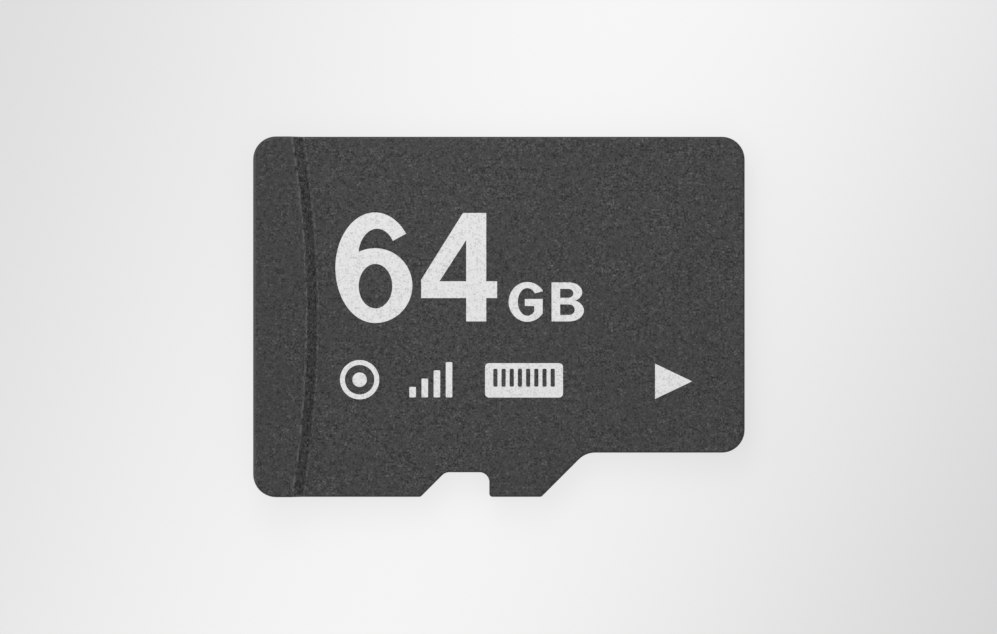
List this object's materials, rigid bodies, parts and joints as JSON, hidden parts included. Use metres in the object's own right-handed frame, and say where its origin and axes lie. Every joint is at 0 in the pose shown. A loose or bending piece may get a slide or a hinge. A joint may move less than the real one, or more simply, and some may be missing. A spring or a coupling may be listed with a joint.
{
  "type": "memory card",
  "caption": "Thin black removable flash memory card with a shouldered and notched edge, an arched grip ridge on its label face and a row of gold contacts underneath.",
  "frame": {"origin": "centre of the card's bounding rectangle, on the contact face that it lies on", "axes": "+X along the length to the contact end, +Y to the straight long edge, +Z out of the label face"},
  "size_m": [0.015, 0.011, 0.001],
  "materials": {
    "moulding": "fine spark-eroded grain, black epoxy moulding compound",
    "laminate": "sawn edge of glass-filled resin laminate",
    "mask": "satin black solder mask",
    "gold": "gold plating over nickel and copper",
    "die_film": "die attach film",
    "silicon": "polished silicon die",
    "capacitor_body": "fired ceramic",
    "tin": "matt tin plating",
    "print": "white ink, printed on the label face"
  },
  "bodies": {
    "root": {"mould_body": "moulding", "laminate_board": "laminate", "solder_mask": "mask", "contact_dat2": "gold", "contact_dat3": "gold", "contact_cmd": "gold", "contact_vdd": "gold", "contact_clk": "gold", "contact_vss": "gold", "contact_dat0": "gold", "contact_dat1": "gold", "lower_flash_film": "die_film", "lower_flash_die": "silicon", "upper_flash_film": "die_film", "upper_flash_die": "silicon", "controller_film": "die_film", "controller_die": "silicon", "flash_wires": "gold", "controller_wires": "gold", "bond_fingers": "gold", "capacitor_1": "capacitor_body", "capacitor_2": "capacitor_body", "capacitor_3": "capacitor_body", "capacitor_4": "capacitor_body", "capacitor_terminals": "tin", "capacitor_lands": "gold"}
  },
  "joints": []
}
